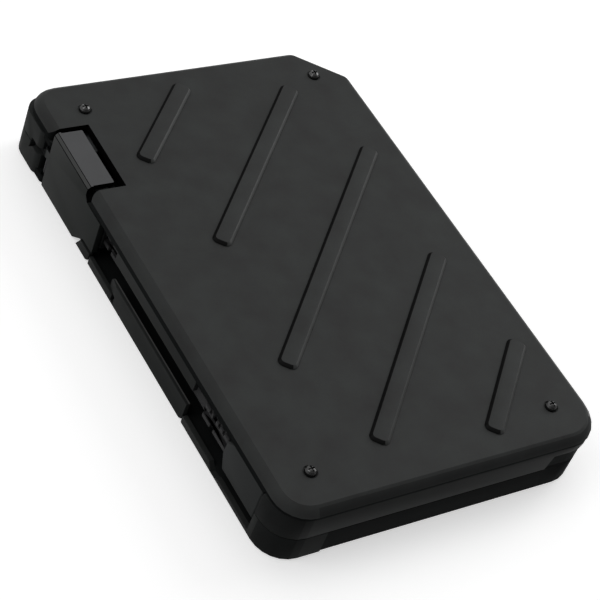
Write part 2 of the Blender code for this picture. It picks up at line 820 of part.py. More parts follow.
frame_channel = box("frame_channel", beyond_left, channel_wall, channel_front, channel_back,
                    frame_low - OVERRUN, frame_over)
strip_left = side_face + STRIP_INSET
strip_back = guard_end + STRIP_OVERLAP
strip = box("strip", strip_left, strip_left + STRIP_THICKNESS, guard_front, strip_back, STRIP_LOW, rim_top)
web = box("web", strip_left + STRIP_INSET, channel_wall + OVERRUN, guard_front + PLUG_EDGE,
          strip_back - PLUG_EDGE, rim_top - WEB_THICKNESS, rim_top - SIDE_INSET)
join(strip, web)
cut(frame_channel, strip)
cut(frame, frame_channel)
skirt_front = notch_front - SKIRT_SETBACK - SKIRT_WALL
skirt_back = notch_back + SKIRT_SETBACK + SKIRT_WALL
skirt_right = notch_right + SKIRT_SETBACK + SKIRT_WALL
cut(frame, box("wall_dip", beyond_left, skirt_right + FIT_GAP, skirt_front - FIT_GAP, skirt_back + FIT_GAP,
               rim_top, frame_over))
cut(frame, at_screws(rod("frame_screw_holes", -post_x, -post_y, SCREW_SHANK_RADIUS + FIT_GAP,
                         frame_low - OVERRUN, frame_over)))
cut(frame, tip_pocket("frame_tip_pocket", frame_low - OVERRUN, tip_high + FIT_GAP))
cut(frame, side_slab("frame_slot", beyond_left, side_face + SLOT_DEPTH, slot))
join(frame, hinge_ear("frame_ear", high_ear_low, rim_top))
cut(frame, rod("frame_pin_hole", hinge_x, hinge_y, PIN_RADIUS + FIT_GAP, frame_low, pin_high + FIT_GAP))
finish(frame, side_plastic, 0.55)

# Top cover: plate with a rolled edge, ribs, notch for the door, and a skirt under the notch
cover = slab("top_cover", lip_low, CASE_HEIGHT, case_outline(0))
round_rim(cover, True, COVER_ROLL, ROLL_STEPS, ROLL_SHARE)
cut(cover, slab("cover_hollow", lip_low - OVERRUN, plate_low, case_outline(COVER_WALL)))
for across_share, along_share, length_share in RIB_SHARES:
    half = length_share * CASE_WIDTH / 2
    rib = slab(
        "rib", -ROOT, RIB_HEIGHT,
        rectangle(-half, half, -RIB_WIDTH / 2, RIB_WIDTH / 2, RIB_CORNER),
    )
    round_rim(rib, True, RIB_EDGE, 1)
    middle = Matrix.Translation((across_share * CASE_WIDTH, along_share * CASE_LENGTH, CASE_HEIGHT))
    rib.matrix_world = middle @ Matrix.Rotation(RIB_TURN, 4, "Z") @ rib.matrix_world
    join(cover, rib)
skirt_inner = notch_right + SKIRT_SETBACK
skirt_left = case_left + COVER_WALL / 4
join(cover, slab("skirt", plate_low - SKIRT_DEPTH, plate_low + ROOT, [
    (skirt_left, skirt_front),
    (skirt_right, skirt_front),
    (skirt_right, skirt_back),
    (skirt_left, skirt_back),
    (skirt_left, skirt_back - SKIRT_WALL),
    (skirt_inner, skirt_back - SKIRT_WALL),
    (skirt_inner, skirt_front + SKIRT_WALL),
    (skirt_left, skirt_front + SKIRT_WALL),
]))
notch_outside = case_left - SIDE_INSET
notch_bulge = notch_outside - BACK_LEFT_BULGE
cut(cover, slab("notch", lip_low - OVERRUN, CASE_HEIGHT + OVERRUN, round_corners([
    (beyond_left, notch_front - OVERRUN, 0),
    (notch_outside, notch_front - OVERRUN, 0),
    (notch_outside, notch_front, NOTCH_ROUND),
    (notch_right, notch_front, 0),
    (notch_right, notch_back, 0),
    (notch_bulge, notch_back, NOTCH_ROUND),
    (notch_bulge, notch_back + OVERRUN, 0),
    (beyond_left, notch_back + OVERRUN, 0),
])))
cut(cover, box("front_step", beyond_left, case_right + OVERRUN, case_front - OVERRUN, channel_front,
               lip_low - OVERRUN, lip_low + FRONT_RISE))
cut(cover, at_screws(rod("cover_screw_holes", -post_x, -post_y, SCREW_SHANK_RADIUS + FIT_GAP,
                         lip_low, CASE_HEIGHT + OVERRUN)))
cut(cover, at_screws(rod("counterbores", -post_x, -post_y, SCREW_HEAD_RADIUS + FIT_GAP,
                         CASE_HEIGHT - COUNTERBORE, CASE_HEIGHT + OVERRUN)))
finish(cover, plastic, 0.6)

# Four cover screws with domed heads and cross recesses, and the inserts they turn into
head_top = CASE_HEIGHT + SCREW_HEAD_HEIGHT
dome = [
    (
        SCREW_HEAD_RADIUS * math.sin(math.pi / 2 * step / DOME_STEPS),
        CASE_HEIGHT + SCREW_HEAD_HEIGHT * math.cos(math.pi / 2 * step / DOME_STEPS),
    )
    for step in range(DOME_STEPS + 1)
]
screw_foot = insert_low + SCREW_TIP_GAP
screw = turned("cover_screw", 0, 0, dome + [
    (SCREW_SHANK_RADIUS, CASE_HEIGHT),
    (SCREW_SHANK_RADIUS, screw_foot + SCREW_POINT),
    (SCREW_SHANK_RADIUS - SCREW_POINT, screw_foot),
    (0, screw_foot),
])
recess_low = head_top - RECESS_DEPTH
for name, span_x, span_y in (
    ("recess_across", RECESS_SPAN, RECESS_WIDTH),
    ("recess_along", RECESS_WIDTH, RECESS_SPAN),
):
    cut(screw, box(name, -span_x / 2, span_x / 2, -span_y / 2, span_y / 2, recess_low, head_top + OVERRUN))
screw_places = [(side * post_x, end * post_y) for end in (-1, 1) for side in (-1, 1)]
place_copies(finish(to_mesh(screw), black_metal, 0.25, 0.9), screw_places)

insert_bore = SCREW_SHANK_RADIUS + FIT_GAP
insert_high = insert_low + INSERT_LENGTH
insert = turned("screw_insert", 0, 0, [
    (insert_bore, insert_high),
    (INSERT_RADIUS, insert_high),
    (INSERT_RADIUS, insert_low),
    (insert_bore, insert_low),
], ring=True)
place_copies(finish(to_mesh(insert), (0.62, 0.45, 0.18), 0.35, 1.0), screw_places)

# Door: a plate that closes the channel by the port and hooks over the top in the notch
door_left = side_face
door_right = case_left + HOOK_REACH
hook_low = CASE_HEIGHT - HOOK_THICKNESS
door = end_slab("port_door", door_front, door_back, [
    (door_left, DOOR_FOOT),
    (door_inner, DOOR_FOOT),
    (door_inner, hook_low),
    (door_right, hook_low),
    (door_right, CASE_HEIGHT),
    (door_left + DOOR_CHAMFER, CASE_HEIGHT),
    (door_left, CASE_HEIGHT - DOOR_CHAMFER),
])
toe_back = door_front + DOOR_TOE
slope_height = DOOR_FRONT_LOW - DOOR_FOOT
door_open = side_slab("door_toe", beyond_left, case_right, [
    (door_front - OVERRUN, DOOR_FRONT_LOW),
    (door_front - OVERRUN, DOOR_FRONT_LOW - slope_height * 2),
    (toe_back + DOOR_SLOPE * 2, DOOR_FRONT_LOW - slope_height * 2),
    (toe_back, DOOR_FRONT_LOW),
])
shoulder_back = hook_front - SHOULDER_GAP
door_head = side_slab("door_head", beyond_left, case_right, [
    (door_front - OVERRUN, rim_top),
    (shoulder_back - SHOULDER_LENGTH, rim_top),
    (shoulder_back, rim_top + SHOULDER_HEIGHT),
    (shoulder_back, CASE_HEIGHT + OVERRUN),
    (door_front - OVERRUN, CASE_HEIGHT + OVERRUN),
])
hook_trim = slab("hook_trim", hook_low - OVERRUN, CASE_HEIGHT + OVERRUN, round_corners([
    (door_inner, door_front, 0),
    (door_right + OVERRUN, door_front, 0),
    (door_right + OVERRUN, door_back + OVERRUN, 0),
    (door_inner, door_back + OVERRUN, 0),
    (door_inner, hook_back, 0),
    (door_right + SIDE_INSET, hook_back, HOOK_CORNER),
    (door_right + SIDE_INSET, hook_front, HOOK_CORNER),
    (door_inner, hook_front, 0),
]))
cut(door, door_open, door_head, hook_trim)
knuckle = rod("knuckle", hinge_x, hinge_y, KNUCKLE_RADIUS, knuckle_low, knuckle_high)
tab = box("knuckle_tab", door_left, hinge_x, door_back - KNUCKLE_TAB, hinge_y, knuckle_low + SIDE_INSET,
          knuckle_high - SIDE_INSET)
join(door, knuckle, tab)
cut(door, rod("knuckle_bore", hinge_x, hinge_y, PIN_RADIUS + FIT_GAP, 0, CASE_HEIGHT))
finish(door, door_plastic, 0.45)

pin = rod("hinge_pin", hinge_x, hinge_y, PIN_RADIUS, PIN_FOOT, pin_high)
finish(pin, black_metal, 0.3, 0.9)


def plug_tip(name, x, back):
    """Hollow metal end of a plug, reaching forward or back from its moulded body."""
    half = TIP_THICKNESS / 2
    tip = end_slab(name, back - TIP_LENGTH, back, rectangle(
        x - half, x + half, tip_low, tip_high, half - SIDE_INSET
    ))
    bore_half = half - TIP_WALL
    return tip, rectangle(
        x - bore_half, x + bore_half, tip_low + TIP_WALL, tip_high - TIP_WALL, bore_half - SIDE_INSET
    )


def strain_relief(name, x, front, back, thickness, slot_place, teeth):
    """Block round the start of a cable: two rails with a groove between, a slot across and teeth."""
    left = x - thickness / 2
    boot = box(name, left, x + thickness / 2, front, back, boot_low, boot_high)
    soften(boot, PLUG_EDGE)
    groove = BOOT_GROOVE / 2
    cut(boot, box(name + "_groove", beyond_left, left + BOOT_GROOVE_DEPTH, front - OVERRUN, back + OVERRUN,
                  cable_z - groove, cable_z + groove))
    slot_front = front + slot_place
    cut(boot, box(name + "_slot", beyond_left, left + BOOT_GROOVE_DEPTH - SIDE_INSET, slot_front,
                  slot_front + BOOT_SLOT, boot_low - OVERRUN, boot_high + OVERRUN))
    tooth_front = front + BOOT_TOOTH_PITCH
    cut(boot, repeat(box(name + "_teeth", beyond_left, left + BOOT_GROOVE_DEPTH / 2, tooth_front,
                         tooth_front + BOOT_TOOTH_GAP, boot_high - BOOT_TOOTH_DEPTH, boot_high + OVERRUN),
                     1, BOOT_TOOTH_PITCH, teeth))
    return finish(boot, rubber, 0.6)


# Stowed plug at the front of the channel, with its metal end in the corner pocket
plug = side_slab("stowed_plug_body", plug_left, plug_left + PLUG_THICKNESS, [
    (plug_front, PLUG_LOW),
    (plug_back - PLUG_LOW_CUT, PLUG_LOW),
    (plug_back, PLUG_LOW + PLUG_LOW_CUT_HEIGHT),
    (plug_back, plug_high - PLUG_TOP_CUT_HEIGHT),
    (plug_back - PLUG_TOP_CUT, plug_high),
    (plug_front, plug_high),
])
soften(plug, PLUG_EDGE)
finish(plug, rubber, 0.5)
stowed_tip, stowed_bore = plug_tip("stowed_plug_shell", stow_x, plug_front - FIT_GAP)
tip_front = plug_front - FIT_GAP - TIP_LENGTH
cut(stowed_tip, end_slab("stowed_bore", tip_front - OVERRUN, tip_front + TIP_DEPTH, stowed_bore))
finish(stowed_tip, steel, 0.3, 1.0)
strain_relief("stowed_plug_boot", stow_x, boot_front, boot_back, BOOT_THICKNESS, BOOT_SLOT_PLACE, BOOT_TEETH)

# Plug in the port, turned the other way, with its metal end inside the socket on the board
port_plug = box("port_plug_body", port_x - PORT_PLUG_THICKNESS / 2, port_x + PORT_PLUG_THICKNESS / 2,
                port_plug_front, port_plug_back, PLUG_LOW, plug_high)
soften(port_plug, PLUG_EDGE)
finish(port_plug, rubber, 0.5)
port_tip, port_bore = plug_tip("port_plug_shell", port_x, socket_front + TIP_LENGTH)
cut(port_tip, end_slab("port_bore", socket_front + TIP_LENGTH - TIP_DEPTH,
                       socket_front + TIP_LENGTH + OVERRUN, port_bore))
finish(port_tip, steel, 0.3, 1.0)
strain_relief("port_plug_boot", port_x, port_boot_front, port_boot_back, PORT_BOOT_THICKNESS,
              PORT_BOOT_SLOT_PLACE, PORT_BOOT_TEETH)

# Cable between the two strain reliefs, drawn as one soft bend from one line to the other
cable_front = boot_back + FIT_GAP
cable_back = port_boot_front - FIT_GAP
route = bpy.data.curves.new("usb_cable", "CURVE")
route.dimensions = "3D"
route.bevel_depth = CABLE_RADIUS
route.bevel_resolution = CABLE_ROUND_STEPS
route.use_fill_caps = True
spline = route.splines.new("POLY")
spline.points.add(CABLE_POINTS - 1)
for place, point in enumerate(spline.points):
    travel = place / (CABLE_POINTS - 1)
    ease = (1 - math.cos(math.pi * travel)) / 2
    point.co = (
        stow_x + (port_x - stow_x) * ease,
        cable_front + (cable_back - cable_front) * travel,
        cable_z,
        1,
    )
cable_curve = bpy.data.objects.new("usb_cable", route)
parts.objects.link(cable_curve)
finish(to_mesh(cable_curve), rubber, 0.5)

# Socket on the arm of the bridge board
socket = end_slab("usb_socket", socket_front, socket_back, rectangle(
    port_x - socket_half - SOCKET_WALL, port_x + socket_half + SOCKET_WALL,
    socket_low - SOCKET_WALL, socket_high + SOCKET_WALL, socket_half,
))
socket_hollow = end_slab("socket_hollow", socket_front - OVERRUN, socket_back - SOCKET_BACK, rectangle(
    port_x - socket_half, port_x + socket_half, socket_low, socket_high, socket_half - SIDE_INSET,
))
tongue_inset_z = TIP_WALL + FIT_GAP + TONGUE_INSET
cut(socket_hollow, box("socket_tongue", port_x - TONGUE_THICKNESS / 2, port_x + TONGUE_THICKNESS / 2,
                       socket_back - SOCKET_BACK - TONGUE_LENGTH, socket_back + OVERRUN,
                       socket_low + tongue_inset_z, socket_high - tongue_inset_z))
cut(socket, socket_hollow)
finish(socket, steel, 0.35, 1.0)

# Bridge board, its connector for the drive, its chip and its two screws
board = slab("bridge_board", BOARD_LOW, board_top, [
    (arm_left, socket_front),
    (arm_right, socket_front),
    (arm_right, board_back - BOARD_NECK),
    (board_left, board_back - BOARD_NECK),
    (board_left, board_front),
    (board_right, board_front),
    (board_right, board_back),
    (arm_left, board_back),
])
for place_x in (pillar_left, pillar_right):
    cut(board, rod("board_hole", place_x, pillar_y, BOARD_SCREW_RADIUS + FIT_GAP, 0, CASE_HEIGHT))
finish(board, (0.010, 0.070, 0.030), 0.45)

chip_low = board_top + FIT_GAP
chip_front = sata_front + SATA_DEPTH + FIT_GAP
chip = box("bridge_chip", sata_x - CHIP_SIDE / 2, sata_x + CHIP_SIDE / 2, chip_front, chip_front + CHIP_SIDE,
           chip_low, chip_low + CHIP_HEIGHT)
finish(chip, (0.015, 0.015, 0.016), 0.4)

sata_low = board_top + FIT_GAP
sata_middle = sata_low + SATA_HEIGHT / 2
sata = box("sata_connector", sata_left, sata_left + SATA_WIDTH, sata_front, sata_front + SATA_DEPTH, sata_low,
           sata_low + SATA_HEIGHT)
slot_left = sata_x - (SATA_DATA_WIDTH + SATA_POWER_WIDTH + SATA_GAP) / 2
for name, start, width in (
    ("power_slot", slot_left, SATA_POWER_WIDTH),
    ("data_slot", slot_left + SATA_POWER_WIDTH + SATA_GAP, SATA_DATA_WIDTH),
):
    cut(sata, end_slab(name, sata_front - OVERRUN, sata_front + SATA_SLOT_DEPTH, [
        (start, sata_middle - SATA_SLOT_HEIGHT / 2 - SATA_KEY),
        (start + SATA_KEY, sata_middle - SATA_SLOT_HEIGHT / 2 - SATA_KEY),
        (start + SATA_KEY, sata_middle - SATA_SLOT_HEIGHT / 2),
        (start + width, sata_middle - SATA_SLOT_HEIGHT / 2),
        (start + width, sata_middle + SATA_SLOT_HEIGHT / 2),
        (start, sata_middle + SATA_SLOT_HEIGHT / 2),
    ]))
finish(sata, (0.016, 0.016, 0.017), 0.45)

screw_seat = board_top + FIT_GAP
board_screw = turned("board_screw", 0, 0, [
    (0, screw_seat + BOARD_SCREW_HEAD_HEIGHT),
    (BOARD_SCREW_HEAD, screw_seat + BOARD_SCREW_HEAD_HEIGHT),
    (BOARD_SCREW_HEAD, screw_seat),
    (BOARD_SCREW_RADIUS, screw_seat),
    (BOARD_SCREW_RADIUS, screw_seat - BOARD_SCREW_LENGTH),
    (0, screw_seat - BOARD_SCREW_LENGTH),
])
board_screw_places = [(pillar_left, pillar_y), (pillar_right, pillar_y)]
place_copies(finish(to_mesh(board_screw), steel, 0.3, 1.0), board_screw_places)

# Soft corner bumpers round the drive, and a pad under it and over it
bumper_low = BASE_THICKNESS + FIT_GAP
bumper_height = plate_low - BUMPER_TOP_GAP - bumper_low
bumper = slab("drive_bumper", 0, bumper_height, [
    (0, 0),
    (BUMPER_LEG, 0),
    (BUMPER_LEG, BUMPER_WALL),
    (BUMPER_WALL, BUMPER_WALL),
    (BUMPER_WALL, BUMPER_LEG),
    (0, BUMPER_LEG),
])
finish(bumper, (0.120, 0.125, 0.130), 0.8)
bumper_y = drive_end + BUMPER_WALL
for number, (x, y, turn_share) in enumerate([
    (bay_left + FIT_GAP, -bumper_y, 0),
    (bay_right - FIT_GAP, -bumper_y, 0.25),
    (bay_right - FIT_GAP, bumper_y, 0.5),
    (bay_left + FIT_GAP, bumper_y, 0.75),
], 1):
    corner = bpy.data.objects.new("drive_bumper_" + str(number), bumper.data)
    corner.location = (x, y, bumper_low + bumper_height / 2)
    corner.rotation_euler.z = 2 * math.pi * turn_share
    parts.objects.link(corner)
bpy.data.objects.remove(bumper)
for name, low, thickness in (
    ("lower_foam_pad", BASE_THICKNESS + FIT_GAP, PAD_THICKNESS),
    ("upper_foam_pad", plate_low - FIT_GAP - UPPER_PAD_THICKNESS, UPPER_PAD_THICKNESS),
):
    pad = box(name, bay_middle - PAD_WIDTH / 2, bay_middle + PAD_WIDTH / 2, -PAD_LENGTH / 2, PAD_LENGTH / 2,
              low, low + thickness)
    finish(pad, (0.050, 0.052, 0.056), 0.95)
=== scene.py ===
# A rugged drive case lying flat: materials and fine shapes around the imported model.
import json
import math

import bmesh
import bpy
from mathutils import Matrix, Vector


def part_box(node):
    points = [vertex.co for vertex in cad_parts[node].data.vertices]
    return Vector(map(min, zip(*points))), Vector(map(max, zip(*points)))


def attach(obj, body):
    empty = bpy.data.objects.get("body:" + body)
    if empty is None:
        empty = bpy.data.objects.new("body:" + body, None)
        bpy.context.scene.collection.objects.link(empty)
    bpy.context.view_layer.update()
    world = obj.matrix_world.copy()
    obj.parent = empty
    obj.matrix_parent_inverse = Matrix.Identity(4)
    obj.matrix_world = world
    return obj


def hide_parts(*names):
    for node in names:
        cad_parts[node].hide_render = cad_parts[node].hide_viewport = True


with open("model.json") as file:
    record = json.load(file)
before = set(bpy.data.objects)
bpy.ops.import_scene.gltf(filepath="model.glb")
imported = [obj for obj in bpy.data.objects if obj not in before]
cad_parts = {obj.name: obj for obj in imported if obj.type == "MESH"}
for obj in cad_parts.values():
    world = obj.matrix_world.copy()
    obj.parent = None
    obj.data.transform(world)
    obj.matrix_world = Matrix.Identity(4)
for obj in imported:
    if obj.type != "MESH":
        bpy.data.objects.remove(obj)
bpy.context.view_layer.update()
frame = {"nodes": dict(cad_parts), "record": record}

nodes = frame["nodes"]
bodies = frame["record"]["behaviour"]["bodies"]
bodyOf = {node: body for body, members in bodies.items() for node in members}
print("frame loaded:", len(nodes), "nodes")

# Camera, at the photograph's angle: place and clipping in metres, lens and sensor in millimetres
cameraSettings = {
    "place": (-0.24255, -0.23859, 0.32349),
    "right": (0.83499, -0.47230, 0.28235),
    "up": (0.18067, 0.71999, 0.67005),
    "lens": 121.68,
    "sensor": 36,
    "shiftX": 0.0037,
    "shiftY": -0.0017,
    "near": 0.01,
    "far": 20,
}


def makeCamera(settings):
    data = bpy.data.cameras.new("camera")
    data.lens = settings["lens"]
    data.sensor_width = settings["sensor"]
    data.shift_x = settings["shiftX"]
    data.shift_y = settings["shiftY"]
    data.clip_start = settings["near"]
    data.clip_end = settings["far"]
    camera = bpy.data.objects.new("camera", data)
    bpy.context.scene.collection.objects.link(camera)
    right = Vector(settings["right"]).normalized()
    up = Vector(settings["up"])
    up = (up - right * up.dot(right)).normalized()
    turn = Matrix((right, up, right.cross(up))).transposed().to_4x4()
    camera.matrix_world = Matrix.Translation(settings["place"]) @ turn
    bpy.context.scene.camera = camera


makeCamera(cameraSettings)
print("camera placed")


def makeGroup(name, inputs, outputs):
    tree = bpy.data.node_groups.new(name, "ShaderNodeTree")
    for label, value in inputs.items():
        kind = "NodeSocketColor" if isinstance(value, tuple) else "NodeSocketFloat"
        socket = tree.interface.new_socket(label, in_out="INPUT", socket_type=kind)
        socket.default_value = value
    for label, kind in outputs.items():
        tree.interface.new_socket(label, in_out="OUTPUT", socket_type=kind)
    return tree, tree.nodes.new("NodeGroupInput"), tree.nodes.new("NodeGroupOutput")


def addNode(tree, kind, **values):
    node = tree.nodes.new(kind)
    for label, value in values.items():
        setattr(node, label, value)
    return node


def mathNode(tree, operation, first, second=None, third=None):
    node = addNode(tree, "ShaderNodeMath", operation=operation)
    for index, value in enumerate((first, second, third)):
        if value is None:
            continue
        if isinstance(value, (int, float)):
            node.inputs[index].default_value = value
        else:
            tree.links.new(value, node.inputs[index])
    return node.outputs[0]


# Mould texture: detail and roughness of its two noises, the level around which they swing, and how
# much of the fine one shows in the colour
textureSettings = {
    "fine": (3.0, 0.62),
    "slow": (4.0, 0.55),
    "middle": 0.5,
    "speckShare": 0.45,
    "patchesPerMetre": 130.0,
    "patchStrength": 1.8,
}
# What a finish has where it names nothing else: the depth of its bumps is in metres
plainFinish = {
    "spread": 0.06,
    "cells": 2600.0,
    "bump": 0.25,
    "depth": 0.00002,
    "metallic": 0.0,
    "specular": 0.5,
}


def addNoise(tree, place, scale, detail, roughness):
    noise = addNode(tree, "ShaderNodeTexNoise", noise_dimensions="3D")
    noise.inputs["Detail"].default_value = detail
    noise.inputs["Roughness"].default_value = roughness
    tree.links.new(place, noise.inputs["Vector"])
    tree.links.new(scale, noise.inputs["Scale"])
    return noise.outputs["Fac"]


def makeGrainGroup(settings):
    # Spark-eroded mould texture: fine cells for the bump, and slow patches for colour and gloss
    inputs = {
        "Cells per metre": plainFinish["cells"],
        "Patches per metre": settings["patchesPerMetre"],
        "Patch strength": settings["patchStrength"],
        "Dark": (0.03, 0.03, 0.03, 1.0),
        "Light": (0.04, 0.04, 0.04, 1.0),
        "Roughness": 0.6,
        "Roughness spread": plainFinish["spread"],
    }
    outputs = {"Height": "NodeSocketFloat", "Colour": "NodeSocketColor", "Roughness": "NodeSocketFloat"}
    tree, given, put = makeGroup("mouldGrain", inputs, outputs)
    place = addNode(tree, "ShaderNodeTexCoord").outputs["Object"]
    fine = addNoise(tree, place, given.outputs["Cells per metre"], *settings["fine"])
    slow = addNoise(tree, place, given.outputs["Patches per metre"], *settings["slow"])
    speckFoot = settings["middle"] * (1 - settings["speckShare"])
    speck = mathNode(tree, "MULTIPLY_ADD", fine, settings["speckShare"], speckFoot)
    centred = mathNode(tree, "SUBTRACT", slow, settings["middle"])
    patch = mathNode(tree, "MULTIPLY", centred, given.outputs["Patch strength"])
    amount = mathNode(tree, "ADD", speck, patch)
    blend = addNode(tree, "ShaderNodeMix", data_type="RGBA")
    tree.links.new(amount, blend.inputs["Factor"])
    tree.links.new(given.outputs["Dark"], blend.inputs["A"])
    tree.links.new(given.outputs["Light"], blend.inputs["B"])
    spread = mathNode(tree, "MULTIPLY", centred, given.outputs["Roughness spread"])
    rough = mathNode(tree, "ADD", spread, given.outputs["Roughness"])
    tree.links.new(fine, put.inputs["Height"])
    tree.links.new(blend.outputs["Result"], put.inputs["Colour"])
    tree.links.new(rough, put.inputs["Roughness"])
    return tree


grainGroup = makeGrainGroup(textureSettings)


def grainMaterial(name, dark, light, roughness, other):
    values = {**plainFinish, **other}
    material = bpy.data.materials.new(name)
    material.use_nodes = True
    tree = material.node_tree
    shader = tree.nodes["Principled BSDF"]
    shader.inputs["Metallic"].default_value = values["metallic"]
    shader.inputs["Specular IOR Level"].default_value = values["specular"]
    grain = addNode(tree, "ShaderNodeGroup", node_tree=grainGroup)
    grain.inputs["Cells per metre"].default_value = values["cells"]
    grain.inputs["Dark"].default_value = (*dark, 1.0)
    grain.inputs["Light"].default_value = (*light, 1.0)
    grain.inputs["Roughness"].default_value = roughness
    grain.inputs["Roughness spread"].default_value = values["spread"]
    relief = addNode(tree, "ShaderNodeBump")
    relief.inputs["Strength"].default_value = values["bump"]
    relief.inputs["Distance"].default_value = values["depth"]
    tree.links.new(grain.outputs["Height"], relief.inputs["Height"])
    tree.links.new(grain.outputs["Colour"], shader.inputs["Base Color"])
    tree.links.new(grain.outputs["Roughness"], shader.inputs["Roughness"])
    tree.links.new(relief.outputs["Normal"], shader.inputs["Normal"])
    return material


# Each finish, and each colour of painted light or shade: its darkest and lightest colour, its roughness,
# and what sets it apart
finishSettings = {
    "coverPlastic": ((0.029, 0.029, 0.029), (0.041, 0.044, 0.043), 0.6, {"specular": 0.12}),
    "bodyPlastic": ((0.021, 0.022, 0.022), (0.029, 0.031, 0.030), 0.6, {"specular": 0.05}),
    # Painted shade on the front left corner
    "paintedCornerShade": ((0.013, 0.014, 0.014), (0.018, 0.019, 0.019), 0.6, {"specular": 0.027}),
    # Painted shade on the front roll of the cover
    "paintedRollShade": ((0.024, 0.025, 0.025), (0.031, 0.032, 0.032), 0.6, {"specular": 0.05}),
    # Painted shade, lighter, where the front left corner turns
    "paintedTurnShade": ((0.017, 0.018, 0.018), (0.023, 0.024, 0.024), 0.6, {"specular": 0.035}),
    # Painted shade on the recessed front band and the right band
    "paintedBandShade": ((0.009, 0.010, 0.010), (0.013, 0.014, 0.014), 0.8, {"specular": 0.03}),
    # Painted shade in the port channel, the hinge gap and on the knuckle
    "paintedRecessShade": ((0.008, 0.009, 0.009), (0.012, 0.013, 0.013), 0.8, {"specular": 0.03}),
    # Painted shade on the cover's skirt and the front right recess
    "paintedSkirtShade": ((0.007, 0.008, 0.008), (0.010, 0.011, 0.011), 0.8, {"specular": 0.022}),
    # Painted shadow, near black, in narrow pits, seams and grooves
    "paintedPitShadow": ((0.002, 0.002, 0.002), (0.004, 0.004, 0.004), 0.8, {"specular": 0.0}),
    # Painted shade on the near sides of the ribs
    "paintedRibShade": ((0.003, 0.003, 0.003), (0.006, 0.006, 0.006), 0.7, {"specular": 0.05}),
    # Painted shade on the near ends of the ribs
    "paintedRibEndShade": ((0.007, 0.007, 0.007), (0.012, 0.012, 0.012), 0.7, {"specular": 0.05}),
    # Painted highlight on the lit sides of the ribs
    "paintedRibHighlight": ((0.040, 0.042, 0.041), (0.056, 0.058, 0.057), 0.45, {"specular": 0.3}),
    # Painted highlight along the cover's right edge and the guard's top edge
    "paintedEdgeHighlight": ((0.080, 0.082, 0.080), (0.110, 0.112, 0.110), 0.45, {"specular": 0.2}),
    # Painted light on the door's top plate, lighter than the rest of the door
    "paintedDoorTopLight": ((0.070, 0.071, 0.073), (0.086, 0.087, 0.090), 0.45, {"bump": 0.1, "specular": 0.15}),
    # Painted highlight on the door's chamfered edge
    "paintedDoorEdgeHighlight": ((0.060, 0.062, 0.061), (0.074, 0.076, 0.075), 0.45, {"bump": 0.1, "specular": 0.15}),
    "doorPlastic": ((0.013, 0.015, 0.014), (0.017, 0.019, 0.018), 0.5, {"bump": 0.1, "specular": 0.07}),
    "plugPlastic": ((0.017, 0.019, 0.019), (0.022, 0.024, 0.024), 0.5, {"specular": 0.08}),
    "softRubber": ((0.022, 0.022, 0.023), (0.030, 0.030, 0.031), 0.6, {"specular": 0.2}),
    "blackScrew": ((0.08, 0.08, 0.08), (0.13, 0.13, 0.13), 0.24, {"metallic": 1.0, "bump": 0.05}),
    "blackPin": ((0.02, 0.02, 0.021), (0.03, 0.03, 0.032), 0.28, {"metallic": 0.9, "bump": 0.05}),
    "brass": ((0.50, 0.34, 0.12), (0.62, 0.45, 0.18), 0.35, {"metallic": 1.0, "bump": 0.1}),
    "steel": ((0.40, 0.39, 0.375), (0.50, 0.49, 0.47), 0.38, {"metallic": 1.0, "bump": 0.05}),
    "solderMask": ((0.006, 0.055, 0.024), (0.012, 0.080, 0.036), 0.4, {"bump": 0.1}),
    "blackMoulding": ((0.010, 0.010, 0.011), (0.018, 0.018, 0.019), 0.5, {}),
    "silicone": ((0.10, 0.105, 0.11), (0.13, 0.135, 0.14), 0.75, {}),
    "foam": ((0.035, 0.037, 0.040), (0.055, 0.058, 0.062), 0.95, {"cells": 1500.0, "bump": 0.8}),
}
finishes = {name: grainMaterial(name, *values) for name, values in finishSettings.items()}

# The nodes that wear each finish all over, or on the faces that nothing else is painted on
wearers = {
    "coverPlastic": ["top_cover"],
    "bodyPlastic": ["bottom_shell", "body_frame"],
    "doorPlastic": ["port_door"],
    "plugPlastic": ["stowed_plug_body", "port_plug_body"],
    "softRubber": ["stowed_plug_boot", "port_plug_boot", "usb_cable"],
    "blackScrew": ["cover_screw_%d" % number for number in range(1, 5)],
    "blackPin": ["hinge_pin"],
    "brass": ["screw_insert_%d" % number for number in range(1, 5)],
    "steel": ["stowed_plug_shell", "port_plug_shell", "usb_socket", "board_screw_1", "board_screw_2"],
    "solderMask": ["bridge_board"],
    "blackMoulding": ["sata_connector", "bridge_chip"],
    "silicone": ["drive_bumper_%d" % number for number in range(1, 5)],
    "foam": ["lower_foam_pad", "upper_foam_pad"],
}
for label, names in wearers.items():
    for name in names:
        mesh = nodes[name].data
        mesh.materials.clear()
        mesh.materials.append(finishes[label])
print("materials made:", len(finishes))

# Lines on the case, in metres. The imported boxes give its sides, its ends and its main heights, and the
# faces with painted shade and highlights start and end at small distances from them
coverLow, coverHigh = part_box("top_cover")
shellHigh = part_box("bottom_shell")[1]
doorLow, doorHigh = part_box("port_door")
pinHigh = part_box("hinge_pin")[1]
leftSide, rightSide = -coverHigh.x, coverHigh.x
frontEnd, backEnd = coverLow.y, coverHigh.y
plateHeight = doorHigh.z  # the hook of the door is level with the plate of the cover
far = 1.0  # stands for no limit
hairline = 0.0001  # slack around a flat face

# From the left side to the right
guardEdge = leftSide + 0.00055
channelSide = leftSide + 0.0008
turnStart = leftSide + 0.0045
cornerEnd = leftSide + 0.0075
channelWall = leftSide + 0.0082
notchWall = leftSide + 0.0110
bandStart = leftSide + 0.01285
panelEnd = rightSide - 0.01395
rightBand = rightSide - 0.0015
chamferOuter = doorLow.x + 0.00012
chamferInner = doorLow.x + 0.00068

